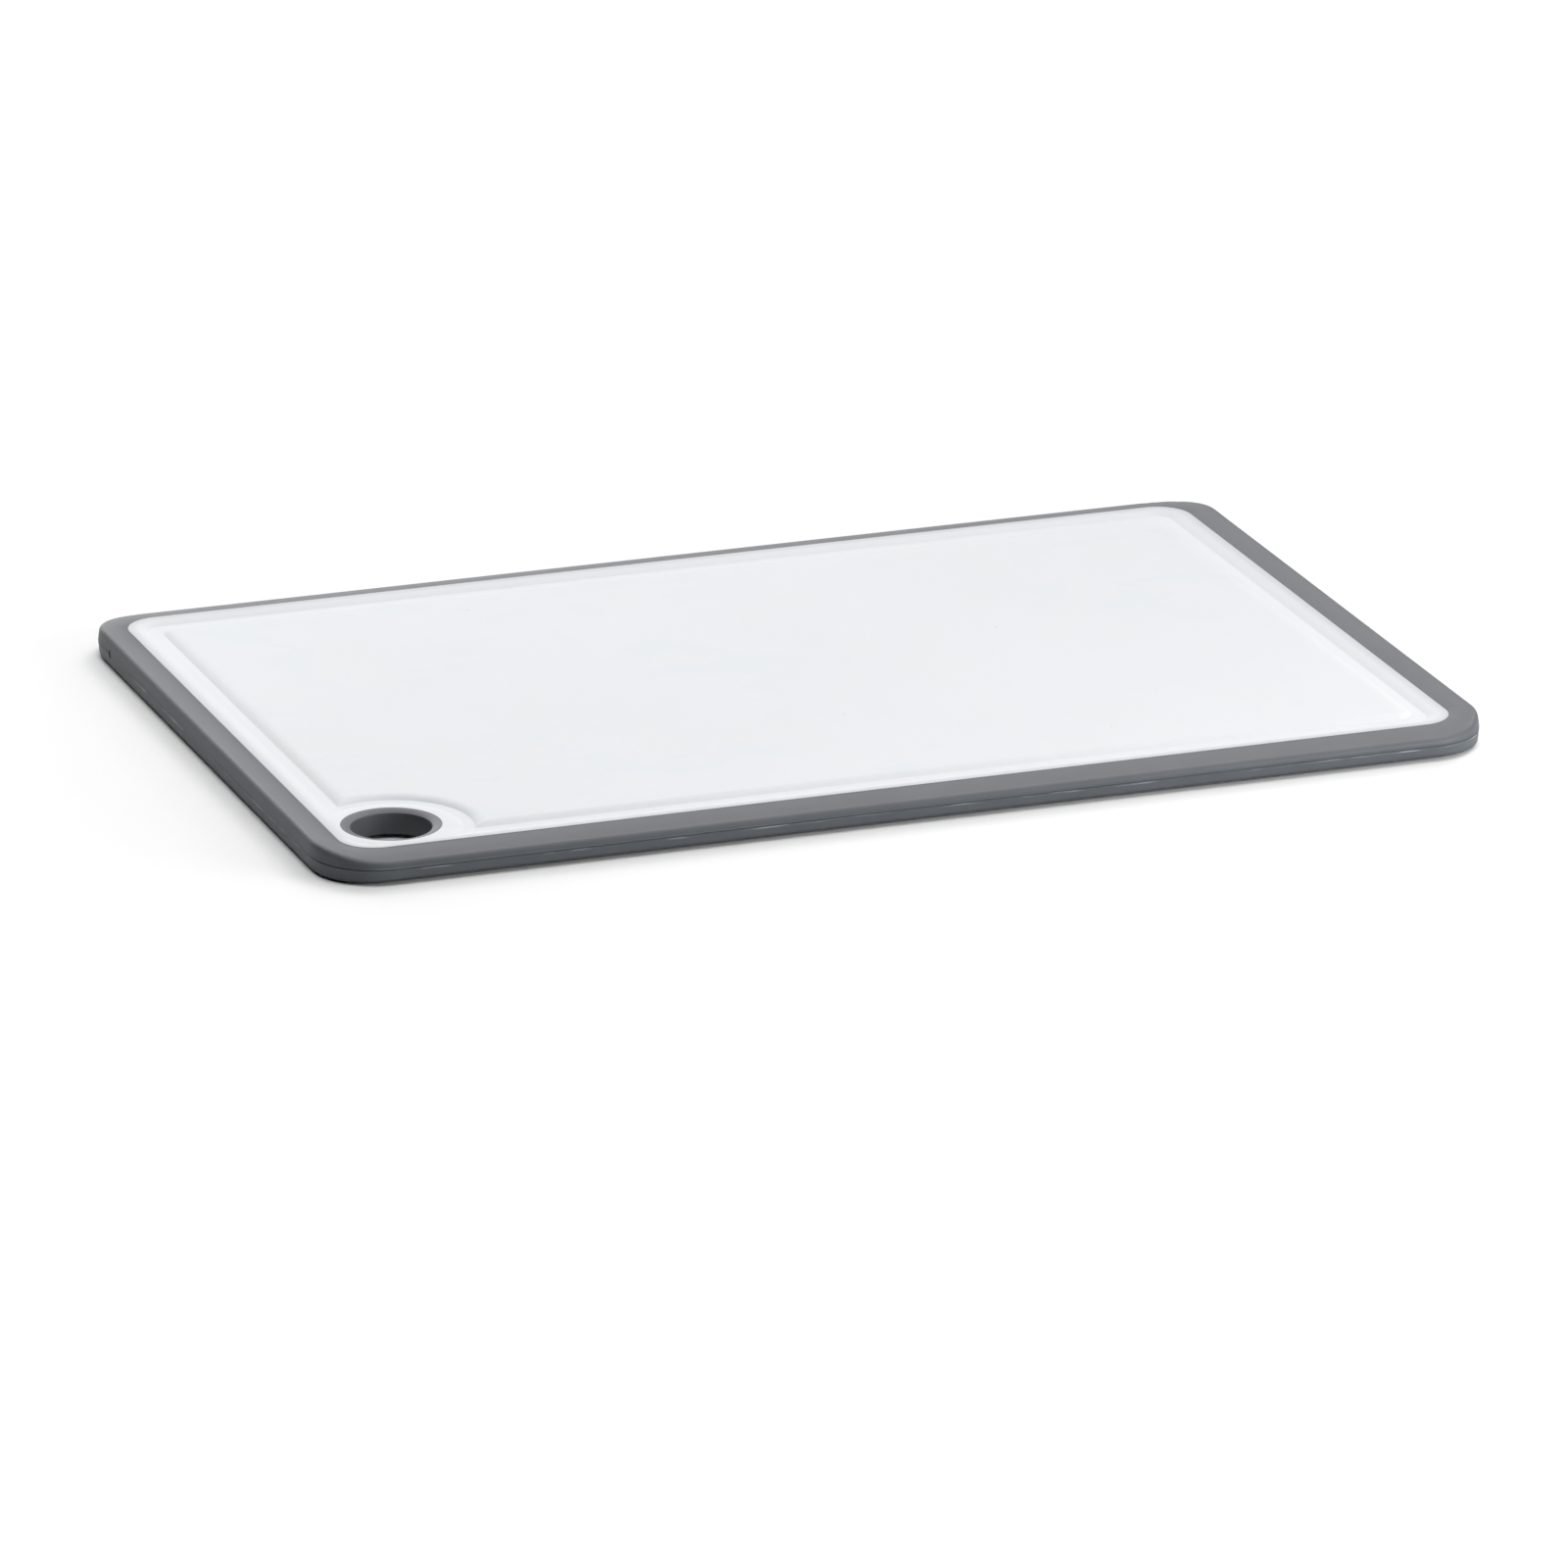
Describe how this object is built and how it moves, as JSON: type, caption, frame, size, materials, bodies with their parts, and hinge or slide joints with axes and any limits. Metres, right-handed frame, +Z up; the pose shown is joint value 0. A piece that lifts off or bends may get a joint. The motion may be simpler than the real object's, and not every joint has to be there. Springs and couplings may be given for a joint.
{
  "type": "cutting board",
  "caption": "White plastic cutting board with a grey soft-grip rim, a juice groove round the edge and a grey-lined hanging hole in a corner.",
  "frame": {"origin": "middle of the footprint, on the surface the board rests on", "axes": "+X along the long side, away from the hanging hole; +Y across the board, away from the hanging hole; +Z up, out of the grooved cutting face"},
  "size_m": [0.3682, 0.2494, 0.0095],
  "materials": {
    "core": "fine matt moulded polypropylene",
    "rim": "satin thermoplastic elastomer",
    "hole_ring": "satin thermoplastic elastomer"
  },
  "bodies": {
    "root": {"core": "core", "rim": "rim", "hole_ring": "hole_ring"}
  },
  "joints": []
}
